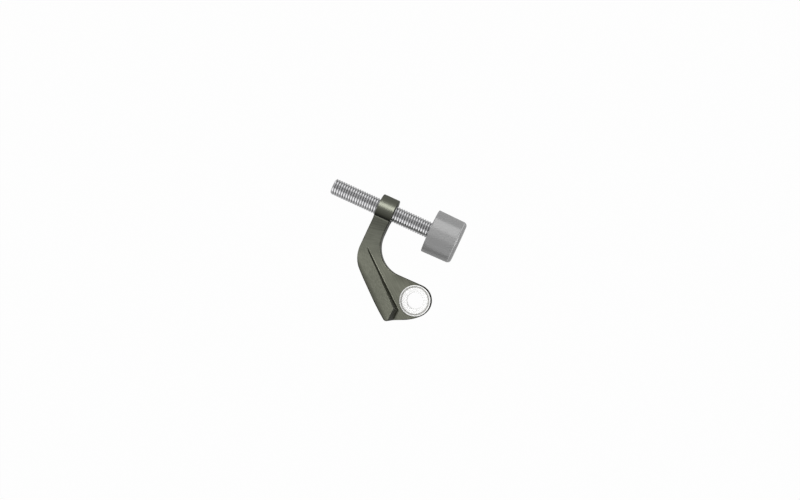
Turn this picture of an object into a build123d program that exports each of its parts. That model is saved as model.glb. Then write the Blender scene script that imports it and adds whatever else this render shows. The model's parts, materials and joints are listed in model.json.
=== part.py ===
from build123d import *
import os
from math import cos, radians, sin

# Door stop that hangs on the hinge pin of a door. A one-piece cast arm swings on the pin, its
# wedge-shaped heel bears on the door frame, and a rubber bumper on a threaded rod meets the
# door. X runs along the rod towards the bumper, Y from the hinge pin towards the rod, and Z
# along the pin. The origin is on the pin's axis, half-way through the arm. Millimetres.

# Hinge pin, and the flanged bush that turns on it
pin_diameter = 7.94
pin_clearance = 0.08
bush_wall = 2.40
bush_seat_clearance = 0.05
bush_foot_chamfer = 0.3
flange_overhang = 1.00
flange_thickness = 1.20
flange_chamfer = 0.25
flange_rim_width = 0.50
groove_width = 0.70
groove_depth = 0.40
dish_depth = 0.60

# Arm in plan: ring round the bush, neck, crook, upper arm, elbow and belly
ring_wall = 1.50
arm_thickness = 10.4
arm_width = 8.0
arm_reach = 31.2
rod_offset = 33.8
neck_angle = 1.0
crook_radius = 14.3
elbow_radius = 13.8
elbow_height = 7.0
belly_angle = 26.2
belly_radius = 22.8
belly_start = 41.5
tip_round = 1.6
edge_round = 0.45

# Heel: a wedge that rises along the outer side of the arm. This side is flat in the middle and
# falls back a little towards both ends. The two inner walls lean back, the end one more.
heel_angle = 38.7
heel_bow = 0.68
heel_flat = 9.0
heel_width = 7.2
heel_length = 34.0
heel_height = 10.0
heel_wall_draft = 5.0
heel_end_draft = 12.0
heel_end = 5.2
heel_foot_round = 0.8
heel_corner_round = 0.6

# Threaded rod, and the barrel of the arm that it screws through
thread_diameter = 8.0
thread_pitch = 1.25
thread_clearance = 0.08
barrel_wall = 2.82
barrel_length = 8.3
barrel_chamfer = 0.2
mouth_chamfer = 0.6
rod_tail = 59.8

# Rubber bumper, and the head of the rod that it is moulded round
bumper_back = 7.7
bumper_length = 15.15
bumper_diameter = 21.8
bumper_front_round = 1.45
bumper_back_chamfer = 0.25
head_diameter = 13.0
head_thickness = 3.0
head_depth = 5.5
shank_clearance = 0.10
head_clearance = 0.30

# Sizes and places that follow from those above
bush_bore_radius = pin_diameter / 2 + pin_clearance
sleeve_radius = bush_bore_radius + bush_wall
flange_radius = sleeve_radius + flange_overhang
ring_bore_radius = sleeve_radius + bush_seat_clearance
ring_radius = ring_bore_radius + ring_wall
arm_top = arm_thickness / 2
arm_left = -arm_reach - arm_width / 2
arm_right = -arm_reach + arm_width / 2
thread_radius = thread_diameter / 2
thread_bore_radius = thread_radius + thread_clearance
barrel_radius = thread_bore_radius + barrel_wall
barrel_left = -arm_reach - barrel_length / 2
barrel_right = -arm_reach + barrel_length / 2
head_back = head_depth - bumper_back
head_front = head_back + head_thickness
pin_axis = Axis.Z
rod_axis = Axis((0, rod_offset, 0), (1, 0, 0))

# A turned piece is drawn on one of these planes as a half section and revolved:
# X across and Z up for the pin's pieces, X along and Y outwards for the rod's
pin_section = Plane.XZ
rod_section = Plane((0, rod_offset, 0), x_dir=(1, 0, 0), z_dir=(0, 0, 1))

# Directions in plan: down the heel to its tip, across it to the ring, and up the belly
heel_way = Vector(cos(radians(heel_angle)), -sin(radians(heel_angle)))
heel_across = heel_way.rotate(Axis.Z, 90)
belly_way = Vector(cos(radians(belly_angle)), sin(radians(belly_angle)))

# The belly is an arc that leaves the ring smoothly, then a straight run that leaves the arc
# smoothly, and this run meets the line of the heel at the tip
elbow_corner = Vector(arm_left, elbow_height)
belly_turn = 90 - belly_angle - belly_start
belly_center = Vector(ring_radius - belly_radius, 0).rotate(Axis.Z, -belly_start)
belly_end = belly_center + Vector(belly_radius, 0).rotate(Axis.Z, -belly_start - belly_turn)
heel_run = (belly_end - elbow_corner).cross(belly_way).Z / heel_way.cross(belly_way).Z
heel_tip = elbow_corner + heel_way * heel_run
flat_middle = (elbow_corner + heel_tip) / 2 - heel_across * heel_bow
flat_start = flat_middle - heel_way * heel_flat / 2
flat_end = flat_middle + heel_way * heel_flat / 2

# The neck is a straight run that leaves both the ring and the crook smoothly
crook_x = arm_right + crook_radius
neck_gap = ring_radius + crook_radius + sin(radians(neck_angle)) * crook_x
crook_center = Vector(crook_x, neck_gap / cos(radians(neck_angle)))

# Foot of the heel's inner corner, where its long wall meets its end wall
wall_run = (-heel_end - elbow_corner.X - heel_across.X * heel_width) / heel_way.X
wall_corner = elbow_corner + heel_way * wall_run + heel_across * heel_width

# Blocks that are trimmed away reach at least this far past the arm
spare = arm_reach + rod_offset

# Plan of the arm, without its barrel
with BuildSketch() as arm_plan:
    with BuildLine():
        crook = CenterArc(crook_center, crook_radius, 180, 90 + neck_angle)
        ring = CenterArc((0, 0), ring_radius, 90 + neck_angle, -90 - neck_angle - belly_start)
        belly = CenterArc(belly_center, belly_radius, -belly_start, -belly_turn)
        Line(crook @ 1, ring @ 0)
        Line(belly @ 1, heel_tip)
        TangentArc(flat_end, heel_tip, tangent=heel_way)
        Line(flat_end, flat_start)
        TangentArc(flat_start, elbow_corner, tangent=-heel_way)
        Polyline(elbow_corner, (arm_left, rod_offset), (arm_right, rod_offset), crook @ 0)
    make_face()
    fillet(arm_plan.vertices().sort_by_distance(heel_tip)[0], tip_round)
    fillet(arm_plan.vertices().sort_by_distance(elbow_corner)[0], elbow_radius)

# The two leaning walls of the heel, each as the face of a block that reaches past the arm
with BuildPart() as wall_block:
    with BuildSketch(Plane.XY.offset(arm_top)):
        with BuildLine():
            wall_start = wall_corner - heel_way * spare
            wall_end = wall_corner + heel_way * spare
            Polyline(
                wall_end,
                wall_start,
                wall_start - heel_across * spare,
                wall_end - heel_across * spare,
                close=True,
            )
        make_face()
    extrude(amount=heel_height * 2, taper=heel_wall_draft)
with BuildPart() as end_block:
    with BuildSketch(Plane.XY.offset(arm_top)):
        with Locations((-heel_end - spare, 0)):
            Rectangle(spare * 2, spare * 4)
    extrude(amount=heel_height * 2, taper=heel_end_draft)

# Heel: a block with these walls and a rounded foot on the upper half of the arm. The ramp
# is cut from its top, down to the level of the arm, and its outside is trimmed to the plan.
with BuildPart() as heel:
    add(wall_block.part)
    add(end_block.part, mode=Mode.INTERSECT)
    with BuildSketch():
        Rectangle(spare * 4, spare * 4)
    extrude(amount=arm_top)
    block_edges = heel.edges().filter_by_position(Axis.Z, arm_top, arm_top + heel_height * 2)
    upright = block_edges.filter_by(lambda edge: abs((edge % 0.5).Z) > 0.5)
    fillet(upright.sort_by_distance(wall_corner)[0], heel_corner_round)
    fillet(heel.edges().filter_by(Plane.XY).group_by(Axis.Z)[-2], heel_foot_round)
    ramp_plane = Plane(wall_corner + Vector(0, 0, arm_top), x_dir=heel_way, z_dir=-heel_across)
    with BuildSketch(ramp_plane):
        with BuildLine():
            Polyline(
                (-spare * 2, 0),
                (-heel_length, 0),
                (heel_length, heel_height * 2),
                (heel_length, heel_height * 3),
                (-spare * 2, heel_height * 3),
                close=True,
            )
        make_face()
    extrude(amount=spare, both=True, mode=Mode.SUBTRACT)
    with BuildSketch():
        add(arm_plan.sketch)
    extrude(amount=arm_top + heel_height * 2, mode=Mode.INTERSECT)


def is_rim(edge):
    """True for a level or sloping edge that lies on the outline of the arm in plan."""
    middle = edge @ 0.5
    is_upright = abs((edge % 0.5).Z) > 0.9
    to_outline = arm_plan.wire().distance_to(Vertex(middle.X, middle.Y, 0))
    return not is_upright and to_outline < 0.01 and middle.Y < rod_offset - barrel_wall


# Barrel, a little longer than the upper arm is wide
with BuildPart() as barrel:
    with BuildSketch(Plane.YZ.offset(barrel_left)):
        with Locations((rod_offset, 0)):
            Circle(barrel_radius)
    extrude(amount=barrel_length)
    chamfer(barrel.edges().filter_by(GeomType.CIRCLE), barrel_chamfer)

# Arm: plate, heel and barrel are one casting, bored for the bush and for the rod
with BuildPart() as arm:
    with BuildSketch():
        add(arm_plan.sketch)
    extrude(amount=arm_top, both=True)
    add(heel.part)
    fillet(arm.edges().filter_by(is_rim), edge_round)
    add(barrel.part)
    with BuildSketch(Plane.XY.offset(-arm_top)):
        Circle(ring_bore_radius)
    extrude(amount=arm_thickness, mode=Mode.SUBTRACT)
    with BuildSketch(rod_section):
        with BuildLine():
            Polyline(
                (barrel_left, 0),
                (barrel_left, thread_bore_radius + mouth_chamfer),
                (barrel_left + mouth_chamfer, thread_bore_radius),
                (barrel_right - mouth_chamfer, thread_bore_radius),
                (barrel_right, thread_bore_radius + mouth_chamfer),
                (barrel_right, 0),
                close=True,
            )
        make_face()
    revolve(axis=rod_axis, mode=Mode.SUBTRACT)

# Bush: a sleeve in the ring and a flange on the ring's face. The flange has a raised rim,
# a groove inside it, and a dished face that falls towards the bore.
with BuildPart() as pin_bush:
    flange_top = arm_top + flange_thickness
    groove_outside = flange_radius - flange_rim_width
    groove_inside = groove_outside - groove_width
    with BuildSketch(pin_section) as bush_half:
        with BuildLine():
            Polyline(
                (bush_bore_radius, -arm_top),
                (sleeve_radius, -arm_top),
                (sleeve_radius, arm_top),
                (flange_radius, arm_top),
                (flange_radius, flange_top),
                (groove_outside, flange_top),
                (groove_outside, flange_top - groove_depth),
                (groove_inside, flange_top - groove_depth),
                (groove_inside, flange_top),
                (bush_bore_radius, flange_top - dish_depth),
                close=True,
            )
        make_face()
        corners = bush_half.vertices()
        chamfer(corners.sort_by_distance((flange_radius, flange_top))[0], flange_chamfer)
        chamfer(corners.sort_by_distance((sleeve_radius, -arm_top))[0], bush_foot_chamfer)
    revolve(axis=pin_axis)

# Rod: the thread's full diameter from end to end, with a flat head inside the bumper
with BuildPart() as threaded_rod:
    rod_chamfer = thread_pitch * 0.4
    with BuildSketch(rod_section):
        with BuildLine():
            Polyline(
                (-rod_tail, 0),
                (-rod_tail, thread_radius - rod_chamfer),
                (-rod_tail + rod_chamfer, thread_radius),
                (head_back, thread_radius),
                (head_back, head_diameter / 2),
                (head_front, head_diameter / 2),
                (head_front, 0),
                close=True,
            )
        make_face()
    revolve(axis=rod_axis)

# Bumper: a rubber cylinder with a rounded front edge, hollow for the head and its shank
with BuildPart() as bumper:
    bumper_front = bumper_length - bumper_back
    shank_hole_radius = thread_radius + shank_clearance
    pocket_radius = head_diameter / 2 + head_clearance
    with BuildSketch(rod_section) as bumper_half:
        with BuildLine():
            Polyline(
                (-bumper_back, shank_hole_radius),
                (-bumper_back, bumper_diameter / 2),
                (bumper_front, bumper_diameter / 2),
                (bumper_front, 0),
                (head_front + head_clearance, 0),
                (head_front + head_clearance, pocket_radius),
                (head_back - head_clearance, pocket_radius),
                (head_back - head_clearance, shank_hole_radius),
                close=True,
            )
        make_face()
        outer_corners = bumper_half.vertices().group_by(Axis.Y)[-1].sort_by(Axis.X)
        fillet(outer_corners[1], bumper_front_round)
        chamfer(outer_corners[0], bumper_back_chamfer)
    revolve(axis=rod_axis)

# Each finished piece goes to a file of its own
os.makedirs("parts", exist_ok=True)
arm.part.label = "arm"
pin_bush.part.label = "pin_bush"
threaded_rod.part.label = "threaded_rod"
bumper.part.label = "bumper"
export_step(arm.part, "parts/arm.step")
export_step(pin_bush.part, "parts/pin_bush.step")
export_step(threaded_rod.part, "parts/threaded_rod.step")
export_step(bumper.part, "parts/bumper.step")
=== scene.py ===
import bpy, bmesh, json, math
from mathutils import Matrix, Vector


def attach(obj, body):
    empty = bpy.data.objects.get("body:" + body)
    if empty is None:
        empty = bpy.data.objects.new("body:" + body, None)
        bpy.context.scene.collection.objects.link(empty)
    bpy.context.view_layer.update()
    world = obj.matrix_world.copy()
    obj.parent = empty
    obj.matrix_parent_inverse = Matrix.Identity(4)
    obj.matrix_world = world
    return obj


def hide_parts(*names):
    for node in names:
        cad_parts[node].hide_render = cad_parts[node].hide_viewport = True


# Hinge pin door stop: antique nickel arm, white nylon bush, zinc plated threaded rod, grey rubber bumper.
# X runs along the rod towards the bumper, Y from the hinge pin to the rod, Z along the pin towards the
# bush's flange. Lengths in the dictionaries are in millimetres, and every mesh is made in metres.
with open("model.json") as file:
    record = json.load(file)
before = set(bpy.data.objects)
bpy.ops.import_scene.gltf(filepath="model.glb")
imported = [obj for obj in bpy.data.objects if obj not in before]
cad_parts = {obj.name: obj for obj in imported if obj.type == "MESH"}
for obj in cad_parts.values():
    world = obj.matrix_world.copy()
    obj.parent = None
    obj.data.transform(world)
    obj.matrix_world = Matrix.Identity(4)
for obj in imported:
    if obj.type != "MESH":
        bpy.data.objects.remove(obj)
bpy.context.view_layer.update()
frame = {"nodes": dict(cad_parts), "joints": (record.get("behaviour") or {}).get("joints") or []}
millimetre = 0.001


def cadReach(name, way):  # where the solid begins and ends along X, Y or Z, given as 0, 1 or 2
    sides = [corner[way] / millimetre for corner in frame["nodes"][name].bound_box]
    return round(min(sides), 3), round(max(sides), 3)


rodTail, headFront = cadReach("threaded_rod", 0)
bumperBack, bumperFront = cadReach("bumper", 0)
sleeveEnd, flangeTop = cadReach("pin_bush", 2)
rodLine = next(joint["pos_m"][1] for joint in frame["joints"] if joint["name"] == "rod_turn") / millimetre


def linearColour(hexCode):
    values = [int(hexCode[i:i + 2], 16) / 255 for i in (1, 3, 5)]
    return tuple(v / 12.92 if v <= 0.04045 else ((v + 0.055) / 1.055) ** 2.4 for v in values) + (1.0,)


def addNode(tree, kind, settings=None, inputs=None):
    node = tree.nodes.new(kind)
    for name, value in (settings or {}).items():
        setattr(node, name, value)
    for name, value in (inputs or {}).items():
        if isinstance(value, bpy.types.NodeSocket):
            tree.links.new(value, node.inputs[name])
        else:
            node.inputs[name].default_value = value
    return node


def newMaterial(name):
    material = bpy.data.materials.new(name)
    material.use_nodes = True
    tree = material.node_tree
    return material, tree, tree.nodes["Principled BSDF"]


# the next four say where on a piece a tone or a finish shows, as a share from 0 to 1
def overlap(tree, *shares):  # where all of them hold
    result = shares[0]
    for share in shares[1:]:
        result = addNode(tree, "ShaderNodeMath", {"operation": "MULTIPLY"}, {0: result, 1: share}).outputs[0]
    return result


def strongest(tree, *shares):  # where any of them holds
    result = shares[0]
    for share in shares[1:]:
        result = addNode(tree, "ShaderNodeMath", {"operation": "MAXIMUM"}, {0: result, 1: share}).outputs[0]
    return result


def without(tree, amount, share):  # the amount, less this share of it
    kept = addNode(tree, "ShaderNodeMath", {"operation": "SUBTRACT"}, {0: 1.0, 1: share}).outputs[0]
    return overlap(tree, amount, kept)


# goes softly from low to high between two places, and if four are given it ends between the last two
def softMask(tree, value, places, low=0.0, high=1.0):
    share = addNode(tree, "ShaderNodeMapRange", {"interpolation_type": "SMOOTHSTEP"}, {
        "Value": value, "From Min": places[0] * millimetre, "From Max": places[1] * millimetre,
        "To Min": low, "To Max": high}).outputs[0]
    if len(places) == 4:
        share = overlap(tree, share, softMask(tree, value, places[2:], 1.0, 0.0))
    return share


def radiusAbout(tree, place, centre, across):  # distance from a line, by the two ways that lie across it
    offset = addNode(tree, "ShaderNodeVectorMath", {"operation": "SUBTRACT"},
                     {0: place, 1: Vector(centre) * millimetre})
    flat = addNode(tree, "ShaderNodeVectorMath", {"operation": "MULTIPLY"}, {0: offset.outputs[0], 1: across})
    radius = addNode(tree, "ShaderNodeVectorMath", {"operation": "LENGTH"}, {0: flat.outputs[0]})
    return radius.outputs["Value"]


def finishPiece(bm, name, material, body, sharpAngle):
    bmesh.ops.recalc_face_normals(bm, faces=bm.faces)
    mesh = bpy.data.meshes.new(name)
    bm.to_mesh(mesh)
    bm.free()
    for face in mesh.polygons:
        face.use_smooth = True
    mesh.set_sharp_from_angle(angle=math.radians(sharpAngle))
    mesh.materials.append(material)
    piece = bpy.data.objects.new(name, mesh)
    bpy.context.scene.collection.objects.link(piece)
    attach(piece, body)
    return piece


# camera: looks down on the arm from a little to the bumper's side
camera = {
    "target": (-16.69, 19.02, 5.2),  # point of the object at the middle of the photo
    "foot": (13.0, 13.5),  # place in plan straight below the lens
    "distance": 400.0,  # from the target's level up to the lens
    "width": 384.0,  # width of the view at the target
    "turn": 25.02,  # the rod runs down to the right by this angle, degrees
    "clip": (10.0, 20000.0),
}


def addCamera():
    target = Vector(camera["target"])
    eye = Vector((*camera["foot"], target.z + camera["distance"]))
    back = (eye - target).normalized()
    turn = math.radians(camera["turn"])
    up = Vector((-math.sin(turn), math.cos(turn), 0.0))
    right = up.cross(back).normalized()
    up = back.cross(right)
    data = bpy.data.cameras.new("photoCamera")
    data.lens = data.sensor_width * (eye - target).length / camera["width"]
    data.clip_start, data.clip_end = (distance * millimetre for distance in camera["clip"])
    eyeObject = bpy.data.objects.new("photoCamera", data)
    bpy.context.scene.collection.objects.link(eyeObject)
    place = Matrix((right, up, back)).transposed().to_4x4()
    place.translation = eye * millimetre
    eyeObject.matrix_world = place
    bpy.context.scene.camera = eyeObject


addCamera()
print("camera set")

# studio: a white floor well below the stop, a dim room overhead, and softboxes all round it. Flags keep
# each box off the pieces that it isn't meant for, such as the key off the rod.
studio = {
    "floorDrop": 120.0,  # floor below the hinge pin's middle
    "floorSize": 6000.0,
    "floorColour": "#b0b0b0",
    "floorRoughness": 0.9,
    "floorGlow": 0.985,  # brightness of the paper to the camera and in what it throws back on the stop
    "floorGleam": 0.4,  # and in sharp reflections, which see it at a low slant where it falls into shadow
    "backdrop": "#fefefe",  # what the camera sees beyond the floor
    "sky": [  # sine of the angle off the vertical towards the key, and the room's colour there
        (-1.0, "#d8d8d8"), (-0.75, "#b8b8b8"), (-0.4, "#848484"), (0.0, "#8c8c8c"),
        (0.35, "#949494"), (0.75, "#a0a0a0"), (1.0, "#b0b0b0"),
    ],
    "aim": (-16.0, 20.0, 5.0),  # point of the stop that the boxes face
    # each box: its bearing in plan from the rod's line and its height, in degrees, then its distance from
    # the aim, its two sides, its watts, and the pieces that it lights
    "boxes": {
        "keyBox": (96.0, 61.0, 800.0, (460.0, 430.0), 1.95, ("arm", "nylonBush")),
        "farBox": (90.0, 30.0, 900.0, (900.0, 640.0), 1.3, ("nylonBush", "screwRod")),
        "nearBox": (-90.0, 39.0, 900.0, (1100.0, 980.0), 2.6, ("nylonBush", "screwRod")),
        "frontBox": (0.0, 38.0, 900.0, (700.0, 420.0), 2.4, ("nylonBush", "screwRod", "rubberBumper")),
        "sideBox": (90.0, 42.0, 900.0, (430.0, 860.0), 2.8, ("rubberBumper",)),
        "topBox": (90.0, 88.0, 900.0, (1400.0, 800.0), 2.7, ("rubberBumper",)),
        "lowBox": (-90.0, 6.0, 900.0, (1400.0, 700.0), 0.6, ("rubberBumper",)),
        "tailBox": (180.0, 26.0, 900.0, (700.0, 380.0), 2.4, ("nylonBush", "screwRod", "rubberBumper")),
        "bushBox": (150.0, 75.0, 900.0, (700.0, 700.0), 0.8, ("nylonBush",)),
        "rearBox": (205.0, 10.0, 900.0, (700.0, 380.0), 1.6, ("arm",)),
        "crownBox": (150.0, 75.0, 900.0, (700.0, 700.0), 0.3, ("screwRod",)),
    },
}


def addSoftBox(name, bearing, height, distance, sides, watts, lit):
    data = bpy.data.lights.new(name, "AREA")
    data.shape = "RECTANGLE"
    data.size, data.size_y = (side * millimetre for side in sides)
    data.energy = watts
    lamp = bpy.data.objects.new(name, data)
    bpy.context.scene.collection.objects.link(lamp)
    turn, rise = math.radians(bearing), math.radians(height)
    way = Vector((math.cos(turn) * math.cos(rise), math.sin(turn) * math.cos(rise), math.sin(rise)))
    lamp.location = (Vector(studio["aim"]) + way * distance) * millimetre
    lamp.rotation_euler = way.to_track_quat("Z", "Y").to_euler()
    receivers = bpy.data.collections.new(name + "Lights")
    for piece in lit:
        receivers.objects.link(bpy.data.objects[piece])
    lamp.light_linking.receiver_collection = receivers


def addLamps():
    for name, box in studio["boxes"].items():
        addSoftBox(name, *box)


def addWorld():
    world = bpy.data.worlds.new("paleRoom")
    bpy.context.scene.world = world
    world.use_nodes = True
    tree = world.node_tree
    place = addNode(tree, "ShaderNodeTexCoord")
    parts = addNode(tree, "ShaderNodeSeparateXYZ", inputs={0: place.outputs["Generated"]})
    side = addNode(tree, "ShaderNodeMapRange", inputs={"Value": parts.outputs["Y"], "From Min": -1.0})
    ramp = addNode(tree, "ShaderNodeValToRGB", inputs={"Fac": side.outputs["Result"]})
    ramp.color_ramp.interpolation = "EASE"
    stops = ramp.color_ramp.elements
    while len(stops) < len(studio["sky"]):
        stops.new(0.5)
    for stop, (sine, hexCode) in zip(stops, studio["sky"]):
        stop.position = (sine + 1) / 2
        stop.color = linearColour(hexCode)
    rays = addNode(tree, "ShaderNodeLightPath")
    seen = addNode(tree, "ShaderNodeMix", {"data_type": "RGBA"}, {
        "Factor": rays.outputs["Is Camera Ray"], 6: ramp.outputs["Color"],
        7: linearColour(studio["backdrop"])})
    tree.links.new(seen.outputs[2], tree.nodes["Background"].inputs["Color"])


# uncoated white paper: it has no gleam, and looks evenly white from every side
def whitePaper():
    paper, tree, shader = newMaterial("whitePaperSweep")
    shader.inputs["Base Color"].default_value = linearColour(studio["floorColour"])
    shader.inputs["Roughness"].default_value = studio["floorRoughness"]
    shader.inputs["Specular IOR Level"].default_value = 0.0
    rays = addNode(tree, "ShaderNodeLightPath")
    share = addNode(tree, "ShaderNodeMix", inputs={
        "Factor": rays.outputs["Is Glossy Ray"], 2: studio["floorGlow"], 3: studio["floorGleam"]})
    glow = addNode(tree, "ShaderNodeEmission", inputs={"Strength": 1.0})
    blend = addNode(tree, "ShaderNodeMixShader", inputs={
        0: share.outputs[0], 1: shader.outputs[0], 2: glow.outputs[0]})
    tree.links.new(blend.outputs[0], tree.nodes["Material Output"].inputs["Surface"])
    return paper


def addStudio():
    addWorld()
    bm = bmesh.new()
    bmesh.ops.create_grid(bm, x_segments=1, y_segments=1, size=studio["floorSize"] / 2 * millimetre)
    bmesh.ops.translate(bm, verts=bm.verts, vec=(0.0, 0.0, -studio["floorDrop"] * millimetre))
    mesh = bpy.data.meshes.new("paperFloor")
    bm.to_mesh(mesh)
    bm.free()
    mesh.materials.append(whitePaper())
    floor = bpy.data.objects.new("paperFloor", mesh)
    bpy.context.scene.collection.objects.link(floor)
    bpy.context.scene.view_settings.view_transform = "Standard"


addStudio()
print("studio set")

# arm: the casting itself is the CAD solid, and gets its finish here. Places across and along the heel are
# measured from the corner where its outer side begins.
barrelStart = 29.26  # place along Y where the barrel rises out of the upper arm
arm = {
    "faceColour": "#a6a898",  # brushed nickel over the dark plate
    "shadeColour": "#898b7f",  # the same, darker, on the upper arm
    "oxideAndShadeColour": "#2c2d22",  # dark plate that the brush didn't reach, which also serves as painted shade
    "faceRoughness": 0.36,
    "oxideAndShadeRoughness": 0.62,
    "oxideAndShadeMetal": 0.15,  # the oxide and the painted shade are hardly metallic
    "specular": 0.3,
    "heelEdge": (-35.2, 7.0),  # corner of the outline where the heel's outer side begins
    "heelTurn": -38.7,  # run of that side, degrees from the rod's line
    # brush lines and mottle
    "brushSize": (9.0, 0.42, 0.42),  # length, width and depth of a line. Real ones are under 0.1 wide
    "brushNoise": {"Detail": 3.0, "Roughness": 0.6},
    "upperBrush": 12.0,  # run of the lines on the upper arm, degrees from the rod's line
    "lowerShift": 31.0,  # moves the lines along the heel, so that they differ from the others
    "brushChange": (10.0, 18.0),  # one run goes over into the other between these places along Y
    "streaks": ((0.25, 0.75), (-0.22, 0.2)),  # noise of the darkest and palest line, and change of tone there
    "brushBump": 0.25,
    "brushDepth": 0.03,
    "mottleSize": 5.556,  # the plate's faint clouds change over about this length
    "mottleDetail": 2.0,
    "mottle": ((0.3, 0.7), (-0.05, 0.05)),  # and the same for them
    "barrelGrain": 0.12,  # share of lines and mottle that shows on the barrel
    # tone of the brushed faces, with painted shade and a painted highlight
    "shadeRange": (4.0, 20.0),  # the upper arm's colour comes in between these places along Y
    "creaseShade": (19.5, 26.5),  # and painted shade darkens it again on its way to the barrel
    "creaseShadeShare": 0.42,
    "heelShade": 0.28,  # the heel's top leans away from the lamps, and is darker by this share
    "heelStart": (-6.0, 22.0),  # which comes in between these distances along it
    "heelWidth": 7.15,  # the top lies between the outer side and this distance from it
    "heelEnd": -5.2,  # and ends at this place along X
    "brightLine": (28.6, 28.8, 29.05, barrelStart),  # a thin painted highlight line beside the barrel
    "brightLineShare": 0.6,
    # oxide and painted shade on walls and rounded edges, by how far the surface faces up: 1 is level
    "flatSides": (0.93, 0.985),  # walls turn dark between these, partly oxide and partly painted shade
    "barrelSides": (0.4, 0.97),  # and on the barrel, the upper arm and the heel's top between these, so the barrel's round darkens as painted shade
    "upperSides": (10.0, 16.0),  # places along Y where the one kind goes over into the other
    "beyondHeel": (8.6, 9.6),  # and distances across
    "heelTop": (0.3, 0.8, 6.9, 7.1),  # distances across between which the heel's top lies
    "wallShare": 0.94,  # share of oxide and painted shade on the heel's walls and on rounded edges
    "sideShare": 0.6,  # and on the arm's upright sides lower down
    "sideTop": (4.3, 4.8),  # heights between which the one goes over into the other
    "wallHollow": (7.25, 7.55, 8.4, 8.7),  # less oxide and painted shade on the rounding at the long wall's foot, by place across
    "wallHollowStart": (5.0, 9.0),  # from these distances along the wall
    "wallHollowRun": (2.0, 30.0),  # and less and less between these
    "wallHollowShare": 0.5,
    "endHollow": (-5.5, -5.2, -4.3, -4.0),  # and at the end wall's, by place along X
    "endHollowShare": 0.75,
    # oxide and painted shade that lie in lines
    "footBand": (6.75, 7.0, 7.35, 7.75),  # oxide and painted shade at the foot of the long wall, by distance across
    "footEnds": (-1.5, 1.5, 31.4, 32.4),  # and by distance along it
    "endFoot": (-6.0, -5.7, -5.5, -5.2),  # and at the foot of the end wall, by place along X
    "endTop": (-8.6, -7.4),  # and the places along Y where it stops
    "outerEdge": (0.0, 2.4),  # painted shade on the heel towards its outer side, by distance across
    "outerEdgeShare": 0.55,
    "rim": (7.2, 7.6, 8.1, 8.6),  # oxide and painted shade on the ring's rim outside the bush, by radius
    "rimEnd": (-7.0, 1.5),  # and the places along X where the rim leaves the arm's flat
    "rimLow": (-9.5, -3.0),  # and along Y, as it stays off the rim's lower side
    "crease": (29.4, 34.6),  # oxide and painted shade on the barrel beside the crease, fading between these places along Y
    "creaseDepth": (29.5, 30.6),  # and painted shade, nearly black, where it meets the upper arm
    "creaseDepthShare": 0.75,
    "crookCentre": (-12.9, 22.3),  # middle of the hollow between upper arm and ring
    "crookEdge": (14.5, 21.0),  # painted shade on the neck towards that hollow, by distance from its middle
    "crookShare": 0.42,
    "neckStart": (-18.5, -12.5),  # which comes in between these places along X
}


# the sockets that the arm's finish is placed by: the spot itself, its distances across and along the heel,
# how far the surface faces up, and whether it is on the barrel
def armPlaces(tree):
    source = addNode(tree, "ShaderNodeTexCoord")
    spot = addNode(tree, "ShaderNodeSeparateXYZ", inputs={0: source.outputs["Object"]})
    facing = addNode(tree, "ShaderNodeSeparateXYZ", inputs={0: source.outputs["Normal"]})
    upward = addNode(tree, "ShaderNodeMath", {"operation": "ABSOLUTE"}, {0: facing.outputs["Z"]})
    onBarrel = addNode(tree, "ShaderNodeMath", {"operation": "GREATER_THAN"},
                       {0: spot.outputs["Y"], 1: barrelStart * millimetre})
    corner = Vector((*arm["heelEdge"], 0.0)) * millimetre
    fromCorner = addNode(tree, "ShaderNodeVectorMath", {"operation": "SUBTRACT"},
                         {0: source.outputs["Object"], 1: corner})
    at = {
        "spot": source.outputs["Object"], "x": spot.outputs["X"], "y": spot.outputs["Y"],
        "z": spot.outputs["Z"], "upward": upward.outputs[0], "onBarrel": onBarrel.outputs[0],
    }
    turn = math.radians(arm["heelTurn"])
    ways = {"across": (-math.sin(turn), math.cos(turn), 0.0), "along": (math.cos(turn), math.sin(turn), 0.0)}
    for name, way in ways.items():
        run = addNode(tree, "ShaderNodeVectorMath", {"operation": "DOT_PRODUCT"},
                      {0: fromCorner.outputs[0], 1: way})
        at[name] = run.outputs["Value"]
    return at


# oxide and painted shade on walls, rounded edges and the barrel's round, by how far they turn from level
def wallOxideAndShade(tree, at):
    kinds = []
    for steep, level in (arm["flatSides"], arm["barrelSides"]):
        wall = addNode(tree, "ShaderNodeMapRange", {"interpolation_type": "SMOOTHSTEP"}, {
            "Value": at["upward"], "From Min": steep, "From Max": level, "To Min": 1.0, "To Max": 0.0})
        kinds.append(wall.outputs[0])
    beyondHeel = softMask(tree, at["across"], arm["beyondHeel"])
    upperArm = overlap(tree, softMask(tree, at["y"], arm["upperSides"]), beyondHeel)
    spared = strongest(tree, upperArm, softMask(tree, at["across"], arm["heelTop"]))
    walls = addNode(tree, "ShaderNodeMix", inputs={"Factor": spared, 2: kinds[0], 3: kinds[1]}).outputs[0]
    wallHollow = overlap(
        tree, softMask(tree, at["across"], arm["wallHollow"]),
        softMask(tree, at["along"], arm["wallHollowStart"]),
        softMask(tree, at["along"], arm["wallHollowRun"], arm["wallHollowShare"], 0.0))
    endHollow = overlap(
        tree, softMask(tree, at["x"], arm["endHollow"], 0.0, arm["endHollowShare"]),
        softMask(tree, at["y"], arm["endTop"], 1.0, 0.0))
    walls = without(tree, without(tree, walls, wallHollow), endHollow)
    dark = softMask(tree, at["z"], arm["sideTop"], arm["sideShare"], arm["wallShare"])
    return overlap(tree, walls, dark)


# oxide and painted shade in the corners at the walls' feet
def footOxideAndShade(tree, at):
    longWall = overlap(tree, softMask(tree, at["across"], arm["footBand"]),
                       softMask(tree, at["along"], arm["footEnds"]))
    endWall = overlap(tree, softMask(tree, at["x"], arm["endFoot"]),
                      softMask(tree, at["y"], arm["endTop"], 1.0, 0.0))
    return strongest(tree, longWall, endWall)


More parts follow.
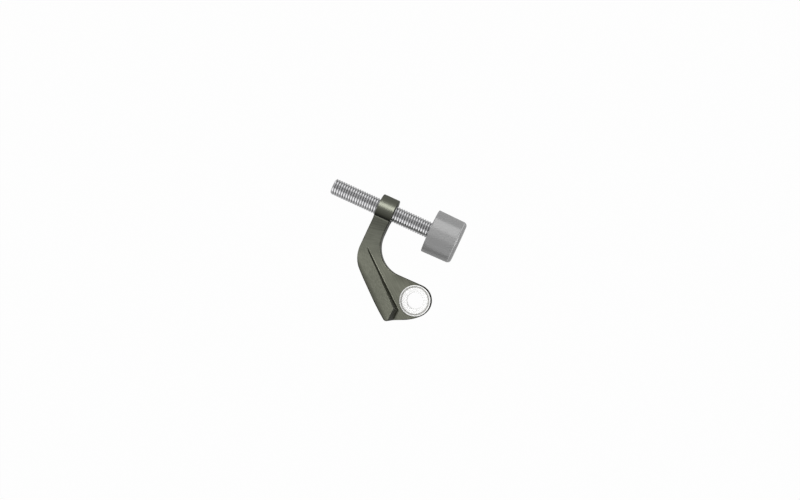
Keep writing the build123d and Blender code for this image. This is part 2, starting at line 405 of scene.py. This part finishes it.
# oxide and painted shade on the rim round the bush
def rimOxideAndShade(tree, at):
    radius = radiusAbout(tree, at["spot"], (0.0, 0.0, 0.0), (1.0, 1.0, 0.0))
    return overlap(tree, softMask(tree, radius, arm["rim"]), softMask(tree, at["x"], arm["rimEnd"]),
                   softMask(tree, at["y"], arm["rimLow"]))


# painted shade on the neck, darker towards the hollow beside the upper arm
def crookShade(tree, at):
    centre = (*arm["crookCentre"], 0.0)
    # past the hollow's middle its edge runs straight on, so only the distance square to that edge counts
    held = addNode(tree, "ShaderNodeVectorMath", {"operation": "MINIMUM"},
                   {0: at["spot"], 1: Vector(centre) * millimetre})
    distance = radiusAbout(tree, held.outputs[0], centre, (1.0, 1.0, 0.0))
    return overlap(tree, softMask(tree, distance, arm["crookEdge"], arm["crookShare"], 0.0),
                   softMask(tree, at["x"], arm["neckStart"]))


def oxideAndShadeAmount(tree, at):
    # oxide and painted shade on the barrel beside the crease
    crease = overlap(tree, softMask(tree, at["y"], arm["crease"], 1.0, 0.0), at["onBarrel"])
    # painted shade along the heel's outer side
    outerEdge = softMask(tree, at["across"], arm["outerEdge"], arm["outerEdgeShare"], 0.0)
    return strongest(tree, wallOxideAndShade(tree, at), crease, footOxideAndShade(tree, at), outerEdge, rimOxideAndShade(tree, at),
                     crookShade(tree, at))


def brushLines(tree, at):
    runs = []
    for angle, shift in ((arm["heelTurn"], arm["lowerShift"]), (arm["upperBrush"], 0.0)):
        mapping = addNode(tree, "ShaderNodeMapping", {"vector_type": "TEXTURE"}, {
            "Vector": at["spot"], "Location": (shift * millimetre, 0.0, 0.0),
            "Rotation": (0.0, 0.0, math.radians(angle)),
            "Scale": tuple(side * millimetre for side in arm["brushSize"])})
        runs.append(addNode(tree, "ShaderNodeTexNoise", inputs={
            "Vector": mapping.outputs[0], "Scale": 1.0, **arm["brushNoise"]}).outputs[0])
    change = softMask(tree, at["y"], arm["brushChange"])
    return addNode(tree, "ShaderNodeMix", inputs={"Factor": change, 2: runs[0], 3: runs[1]}).outputs[0]


# tone of the brushed plate: lines and mottle, painted shade beside the barrel and on the heel, and a painted
# highlight line
def brushedToneAndPaintedLight(tree, at, lines, grain):
    cloud = addNode(tree, "ShaderNodeTexNoise", inputs={
        "Vector": at["spot"], "Scale": 1 / (arm["mottleSize"] * millimetre),
        "Detail": arm["mottleDetail"]}).outputs[0]
    tone = 1.0
    for noise, ((low, high), (darkest, palest)) in ((lines, arm["streaks"]), (cloud, arm["mottle"])):
        change = addNode(tree, "ShaderNodeMapRange", inputs={
            "Value": noise, "From Min": low, "From Max": high, "To Min": darkest, "To Max": palest})
        grained = addNode(tree, "ShaderNodeMath", {"operation": "MULTIPLY_ADD"},
                          {0: change.outputs[0], 1: grain, 2: 1.0})
        tone = overlap(tree, tone, grained.outputs[0])
    # painted shade: the plate darkens towards the barrel
    creaseShade = softMask(tree, at["y"], arm["creaseShade"], 0.0, arm["creaseShadeShare"])
    tone = without(tree, tone, without(tree, creaseShade, at["onBarrel"]))
    # painted highlight: a thin bright line beside the barrel
    bright = softMask(tree, at["y"], arm["brightLine"], 0.0, arm["brightLineShare"])
    tone = addNode(tree, "ShaderNodeMath", {"operation": "MULTIPLY_ADD"},
                   {0: tone, 1: bright, 2: tone}).outputs[0]
    heelShade = softMask(tree, at["along"], arm["heelStart"], 0.0, arm["heelShade"])
    for value, end in ((at["across"], arm["heelWidth"]), (at["x"], arm["heelEnd"])):
        inside = addNode(tree, "ShaderNodeMath", {"operation": "LESS_THAN"}, {0: value, 1: end * millimetre})
        heelShade = overlap(tree, heelShade, inside.outputs[0])
    return without(tree, tone, heelShade)


# cast brass, nickel plated, darkened and then brushed on its flat sides: a dull grey-green metal with soft
# lines in it, and nearly black, matt oxide on the walls, at the heel's foot, round the bush and in the crease
# beside the barrel, where the dark colour is also painted shade. A thin painted highlight runs beside the
# barrel. Real brush lines are too fine to show, so they are drawn several times as coarse.
def antiqueNickel():
    material, tree, shader = newMaterial("brushedAntiqueNickel")
    at = armPlaces(tree)
    oxideAndShade = oxideAndShadeAmount(tree, at)
    lines = brushLines(tree, at)
    grain = addNode(tree, "ShaderNodeMix", inputs={
        "Factor": at["onBarrel"], 2: 1.0, 3: arm["barrelGrain"]}).outputs[0]
    plate = addNode(tree, "ShaderNodeMix", {"data_type": "RGBA"}, {
        "Factor": softMask(tree, at["y"], arm["shadeRange"]),
        6: linearColour(arm["faceColour"]), 7: linearColour(arm["shadeColour"])})
    brushed = addNode(tree, "ShaderNodeVectorMath", {"operation": "SCALE"}, {
        0: plate.outputs[2], "Scale": brushedToneAndPaintedLight(tree, at, lines, grain)})
    colour = addNode(tree, "ShaderNodeMix", {"data_type": "RGBA"}, {
        "Factor": oxideAndShade, 6: brushed.outputs[0], 7: linearColour(arm["oxideAndShadeColour"])})
    # painted shade, nearly black, where the barrel meets the upper arm
    creaseDepth = softMask(tree, at["y"], arm["creaseDepth"], arm["creaseDepthShare"], 0.0)
    deepened = addNode(tree, "ShaderNodeVectorMath", {"operation": "SCALE"}, {
        0: colour.outputs[2], "Scale": without(tree, 1.0, overlap(tree, creaseDepth, at["onBarrel"]))})
    metal = addNode(tree, "ShaderNodeMapRange", inputs={
        "Value": oxideAndShade, "To Min": 1.0, "To Max": arm["oxideAndShadeMetal"]})
    rough = addNode(tree, "ShaderNodeMapRange", inputs={
        "Value": oxideAndShade, "To Min": arm["faceRoughness"], "To Max": arm["oxideAndShadeRoughness"]})
    bump = addNode(tree, "ShaderNodeBump", inputs={
        "Strength": overlap(tree, grain, arm["brushBump"]), "Distance": arm["brushDepth"] * millimetre,
        "Height": lines})
    outputs = {"Base Color": deepened, "Metallic": metal, "Roughness": rough, "Normal": bump}
    for socket, node in outputs.items():
        tree.links.new(node.outputs[0], shader.inputs[socket])
    shader.inputs["Specular IOR Level"].default_value = arm["specular"]
    return material


armObject = frame["nodes"]["arm"]
armObject.data.materials.clear()
armObject.data.materials.append(antiqueNickel())
print("arm finished")

# bush: turned about the hinge pin, a sleeve with a flange that has a raised rim, a groove and a dished face
bush = {
    "bore": 4.05,  # radii
    "sleeve": 6.45,
    "flange": 7.45,
    "rimWidth": 0.50,
    "grooveWidth": 0.70,
    "grooveDepth": 0.40,
    "dishDepth": 0.60,
    "sleeveEnd": sleeveEnd,  # the sleeve ends flush with the ring's far face
    "armFace": -sleeveEnd,  # height of the ring's near face, on which the flange lies
    "flangeTop": flangeTop,
    "sleeveChamfer": 0.3,
    "rimChamfer": 0.25,
    "edge": 0.12,  # soft moulded edges
    "edgeSegments": 2,
    "roundAbove": 14.0,  # edges that turn by more than this get them, degrees
    "steps": 160,
    "sharpAngle": 50.0,
    "colour": "#f3f3f2",
    "grooveShadeColour": "#b6b6b2",  # painted shade in the groove
    "grooveShadeEdge": (0.1, 0.05),  # it reaches this far out of the groove, and is full from this far inside it
    "roughness": 0.42,
    "depthShare": 0.22,  # share of light that goes into the nylon and comes out a little further on
    "lightDepth": 0.7,  # and how far
}


# moulded nylon: clean white and half matt, with soft shadows, because some light goes through it. It has no
# pattern of its own, only painted shade in the groove.
def whiteNylon():
    material, tree, shader = newMaterial("whiteNylon")
    place = addNode(tree, "ShaderNodeTexCoord")
    radius = radiusAbout(tree, place.outputs["Object"], (0.0, 0.0, 0.0), (1.0, 1.0, 0.0))
    outer = bush["flange"] - bush["rimWidth"]
    inner = outer - bush["grooveWidth"]
    outside, inside = bush["grooveShadeEdge"]
    # painted shade in the groove
    grooveShade = softMask(tree, radius, (inner - outside, inner + inside, outer - inside, outer + outside))
    tone = addNode(tree, "ShaderNodeMix", {"data_type": "RGBA"}, {
        "Factor": grooveShade, 6: linearColour(bush["colour"]), 7: linearColour(bush["grooveShadeColour"])})
    tree.links.new(tone.outputs[2], shader.inputs["Base Color"])
    shader.inputs["Roughness"].default_value = bush["roughness"]
    shader.inputs["Subsurface Weight"].default_value = bush["depthShare"]
    shader.inputs["Subsurface Radius"].default_value = (1.0, 1.0, 1.0)
    shader.inputs["Subsurface Scale"].default_value = bush["lightDepth"] * millimetre
    return material


def turnedPiece(profile, centre, along, steps):
    bm = bmesh.new()
    loop = [bm.verts.new(Vector(point) * millimetre) for point in profile]
    edges = [bm.edges.new((loop[i], loop[i - 1])) for i in range(len(loop))]
    bmesh.ops.spin(bm, geom=loop + edges, cent=Vector(centre) * millimetre, axis=along, angle=math.tau,
                   steps=steps, use_merge=True, use_duplicate=False)
    return bm


def addBush():
    b = bush
    grooveOut = b["flange"] - b["rimWidth"]
    grooveIn = grooveOut - b["grooveWidth"]
    top = b["flangeTop"]
    floor = top - b["grooveDepth"]
    outline = [  # radius and height, from the bore's far end round the outside
        (b["bore"], b["sleeveEnd"]), (b["sleeve"] - b["sleeveChamfer"], b["sleeveEnd"]),
        (b["sleeve"], b["sleeveEnd"] + b["sleeveChamfer"]), (b["sleeve"], b["armFace"]),
        (b["flange"], b["armFace"]), (b["flange"], top - b["rimChamfer"]),
        (b["flange"] - b["rimChamfer"], top), (grooveOut, top), (grooveOut, floor), (grooveIn, floor),
        (grooveIn, top), (b["bore"], top - b["dishDepth"]),
    ]
    profile = [(radius, 0.0, height) for radius, height in outline]
    bm = turnedPiece(profile, (0.0, 0.0, 0.0), (0.0, 0.0, 1.0), b["steps"])
    bmesh.ops.recalc_face_normals(bm, faces=bm.faces)
    rims = [edge for edge in bm.edges if edge.calc_face_angle(0.0) > math.radians(b["roundAbove"])]
    bmesh.ops.bevel(bm, geom=rims, offset=b["edge"] * millimetre, segments=b["edgeSegments"], profile=0.5,
                    affect="EDGES", material=-1)
    piece = finishPiece(bm, "nylonBush", whiteNylon(), "arm", b["sharpAngle"])
    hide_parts("pin_bush")


addBush()
print("bush turned")

# rod: M8 coarse right-hand thread, with a flat head inside the bumper
rod = {
    "tail": rodTail,
    "headBack": -2.2,
    "headFront": headFront,
    "headRadius": 6.5,
    "headSteps": 96,
    "pitch": 1.25,  # the joints advance the rod by as much in a turn
    "crest": 4.0,
    "root": 3.4,
    "crestWidth": 0.52,
    "rootWidth": 0.16,
    "rootStart": 0.97,  # share of the depth at which the flank goes over into the root
    "endChamfer": 0.35,
    "chamferSlope": 1.4,  # the chamfer widens by this much for each millimetre along the rod
    "stepsPerTurn": 64,
    "turnsBefore": 1.5,  # the thread is begun so many turns before the tail, and then cut off
    "mergeWithin": 0.002,
    "cutWithin": 0.0001,
    "sharpAngle": 38.0,
    "colour": "#dededf",  # the zinc's own pale colour, on the crests
    "rootShadeColour": "#a8a8aa",  # painted shade in the roots
    "rootShadeRange": (3.35, 3.85),  # radii between which the root turns into the crest
    "roughness": (0.2, 0.3),
    "cloudSize": 2.5,  # the zinc's gloss changes over about this length
    "cloudDetail": 3.0,
    "cloudNoise": (0.3, 0.7),
}


# rolled steel thread, bright zinc plated: pale grey with small sharp highlights on crests and flanks, and
# painted shade darkening the roots. The gloss is a little uneven, as zinc is.
def zincPlate():
    material, tree, shader = newMaterial("zincPlatedSteel")
    place = addNode(tree, "ShaderNodeTexCoord")
    cloud = addNode(tree, "ShaderNodeTexNoise", inputs={
        "Vector": place.outputs["Object"], "Scale": 1 / (rod["cloudSize"] * millimetre),
        "Detail": rod["cloudDetail"]})
    low, high = rod["cloudNoise"]
    glossy, dull = rod["roughness"]
    rough = addNode(tree, "ShaderNodeMapRange", inputs={
        "Value": cloud.outputs[0], "From Min": low, "From Max": high, "To Min": glossy, "To Max": dull})
    # painted shade: the colour darkens from crest to root
    radius = radiusAbout(tree, place.outputs["Object"], (0.0, rodLine, 0.0), (0.0, 1.0, 1.0))
    root, crest = rod["rootShadeRange"]
    crestShare = addNode(tree, "ShaderNodeMapRange", inputs={
        "Value": radius, "From Min": root * millimetre, "From Max": crest * millimetre})
    tone = addNode(tree, "ShaderNodeMix", {"data_type": "RGBA"}, {
        "Factor": crestShare.outputs[0], 6: linearColour(rod["rootShadeColour"]), 7: linearColour(rod["colour"])})
    tree.links.new(tone.outputs[2], shader.inputs["Base Color"])
    tree.links.new(rough.outputs[0], shader.inputs["Roughness"])
    shader.inputs["Metallic"].default_value = 1.0
    return material


def threadOutline():  # place along one pitch and share of the thread's depth, from the middle of a crest
    halfCrest = rod["crestWidth"] / 2
    flank = (rod["pitch"] - rod["crestWidth"] - rod["rootWidth"]) / 2
    rising = [(0.0, 0.0), (halfCrest, 0.0), (halfCrest + flank / 2, 0.5),
              (halfCrest + flank, rod["rootStart"])]
    falling = [(rod["pitch"] - place, drop) for place, drop in reversed(rising)]
    return rising + [(rod["pitch"] / 2, 1.0)] + falling


def spinThread(bm, middle):
    start = rod["tail"] - rod["pitch"] * rod["turnsBefore"]
    depth = rod["crest"] - rod["root"]
    line = [bm.verts.new(Vector((start + place, rodLine, rod["crest"] - depth * drop)) * millimetre)
            for place, drop in threadOutline()]
    edges = [bm.edges.new(pair) for pair in zip(line, line[1:])]
    step = Vector((rod["pitch"] / rod["stepsPerTurn"], 0.0, 0.0)) * millimetre
    bmesh.ops.spin(bm, geom=line + edges, cent=middle, axis=(1, 0, 0), dvec=step, angle=math.tau,
                   steps=rod["stepsPerTurn"], use_merge=False, use_duplicate=False)
    turns = 1
    while turns * rod["pitch"] < rod["headBack"] - start:
        copy = bmesh.ops.duplicate(bm, geom=bm.verts[:] + bm.edges[:] + bm.faces[:])
        copied = [item for item in copy["geom"] if isinstance(item, bmesh.types.BMVert)]
        bmesh.ops.translate(bm, verts=copied, vec=(turns * rod["pitch"] * millimetre, 0, 0))
        turns *= 2
    bmesh.ops.remove_doubles(bm, verts=bm.verts, dist=rod["mergeWithin"] * millimetre)


def cutThread(bm, middle):
    for place, side in ((rod["tail"], -1), (rod["tail"] + rod["endChamfer"], 0), (rod["headBack"], 1)):
        geometry = bm.verts[:] + bm.edges[:] + bm.faces[:]
        bmesh.ops.bisect_plane(bm, geom=geometry, dist=rod["cutWithin"] * millimetre,
                               plane_co=(place * millimetre, 0, 0), plane_no=(1, 0, 0),
                               clear_inner=side < 0, clear_outer=side > 0)
    tailRadius = (rod["crest"] - rod["endChamfer"] * rod["chamferSlope"]) * millimetre
    for vert in bm.verts:
        across = vert.co - middle
        across.x = 0.0
        fromTail = vert.co.x - rod["tail"] * millimetre
        limit = tailRadius + max(0.0, fromTail * rod["chamferSlope"])
        if across.length > limit:
            vert.co -= across * (1 - limit / across.length)
    ends = [edge for edge in bm.edges if edge.is_boundary]
    bmesh.ops.holes_fill(bm, edges=ends)


def addRod():
    bm = bmesh.new()
    middle = Vector((0.0, rodLine, 0.0)) * millimetre
    spinThread(bm, middle)
    cutThread(bm, middle)
    radius = rod["headRadius"] * millimetre
    headMiddle = (rod["headFront"] + rod["headBack"]) / 2
    head = bmesh.ops.create_cone(bm, cap_ends=True, segments=rod["headSteps"], radius1=radius, radius2=radius,
                                 depth=(rod["headFront"] - rod["headBack"]) * millimetre)
    bmesh.ops.rotate(bm, verts=head["verts"], cent=(0, 0, 0), matrix=Matrix.Rotation(math.pi / 2, 3, "Y"))
    bmesh.ops.translate(bm, verts=head["verts"], vec=Vector((headMiddle, rodLine, 0.0)) * millimetre)
    piece = finishPiece(bm, "screwRod", zincPlate(), "rod", rod["sharpAngle"])
    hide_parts("threaded_rod")


addRod()
print("rod threaded")

# bumper: moulded round the rod's head, drafted towards its front
bumper = {
    "back": bumperBack,
    "front": bumperFront,
    "backRadius": 10.9,
    "frontRadius": 10.65,
    "frontRound": 1.9,
    "sideEnd": 5.075,  # place along X where the drafted side ends, just short of the front's rounding
    "arcStep": 10,  # degrees
    "backRound": 0.25,
    "backLead": 0.5,  # points this far from the back's corner keep its rounding narrow
    "shankHole": 4.1,
    "pocket": 6.8,  # radius of the hollow round the rod's head
    "pocketBack": -2.5,
    "pocketFront": 1.1,
    "steps": 192,
    "mergeWithin": 0.001,
    "sharpAngle": 50.0,
    "frontHighlight": (5.85, 6.0, 6.2, 6.35),  # a painted highlight: a paler ring where the front's rounding begins, between these places
    "colour": "#8a8a8a",
    "frontHighlightColour": "#b0b0b0",
    "roughness": 0.27,
    "specular": 1.0,
    "grainSize": 0.5556,
    "grainDetail": 3.0,
    "grainBump": 0.06,
    "grainDepth": 0.04,
}


# compression moulded rubber: even mid grey with broad soft highlights, and a painted highlight as a paler
# ring near the front. Its grain is too fine to show, so it is drawn several times as coarse, and faint.
def greyRubber():
    material, tree, shader = newMaterial("greyRubber")
    place = addNode(tree, "ShaderNodeTexCoord")
    grain = addNode(tree, "ShaderNodeTexNoise", inputs={
        "Vector": place.outputs["Object"], "Scale": 1 / (bumper["grainSize"] * millimetre),
        "Detail": bumper["grainDetail"]})
    bump = addNode(tree, "ShaderNodeBump", inputs={
        "Strength": bumper["grainBump"], "Distance": bumper["grainDepth"] * millimetre,
        "Height": grain.outputs[0]})
    tree.links.new(bump.outputs[0], shader.inputs["Normal"])
    along = addNode(tree, "ShaderNodeSeparateXYZ", inputs={0: place.outputs["Object"]}).outputs["X"]
    # painted highlight: a paler ring where the front rounding begins
    tone = addNode(tree, "ShaderNodeMix", {"data_type": "RGBA"}, {
        "Factor": softMask(tree, along, bumper["frontHighlight"]),
        6: linearColour(bumper["colour"]), 7: linearColour(bumper["frontHighlightColour"])})
    tree.links.new(tone.outputs[2], shader.inputs["Base Color"])
    shader.inputs["Roughness"].default_value = bumper["roughness"]
    shader.inputs["Specular IOR Level"].default_value = bumper["specular"]
    return material


def addBumper():
    b = bumper
    back, side, edge = b["back"], b["backRadius"], b["backRound"]
    corner = b["frontRound"]
    arcPlace, arcRadius = b["front"] - corner, b["frontRadius"] - corner
    angles = [math.radians(degrees) for degrees in range(0, 91, b["arcStep"])]
    arc = [(arcPlace + corner * math.sin(angle), arcRadius + corner * math.cos(angle)) for angle in angles]
    outline = [  # place along X and radius, from the shank's hole round the outside and through the pocket
        (back, b["shankHole"]), (back, side - b["backLead"]), (back, side - edge), (back + edge, side),
        (back + b["backLead"], side), (b["sideEnd"], b["frontRadius"]), *arc, (b["front"], 0.0),
        (b["pocketFront"], 0.0), (b["pocketFront"], b["pocket"]), (b["pocketBack"], b["pocket"]),
        (b["pocketBack"], b["shankHole"]),
    ]
    profile = [(place, rodLine, radius) for place, radius in outline]
    bm = turnedPiece(profile, (0.0, rodLine, 0.0), (1.0, 0.0, 0.0), b["steps"])
    bmesh.ops.remove_doubles(bm, verts=bm.verts, dist=b["mergeWithin"] * millimetre)
    piece = finishPiece(bm, "rubberBumper", greyRubber(), "bumper", b["sharpAngle"])
    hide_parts("bumper")


addBumper()
print("bumper moulded")

addLamps()
print("softboxes lit")
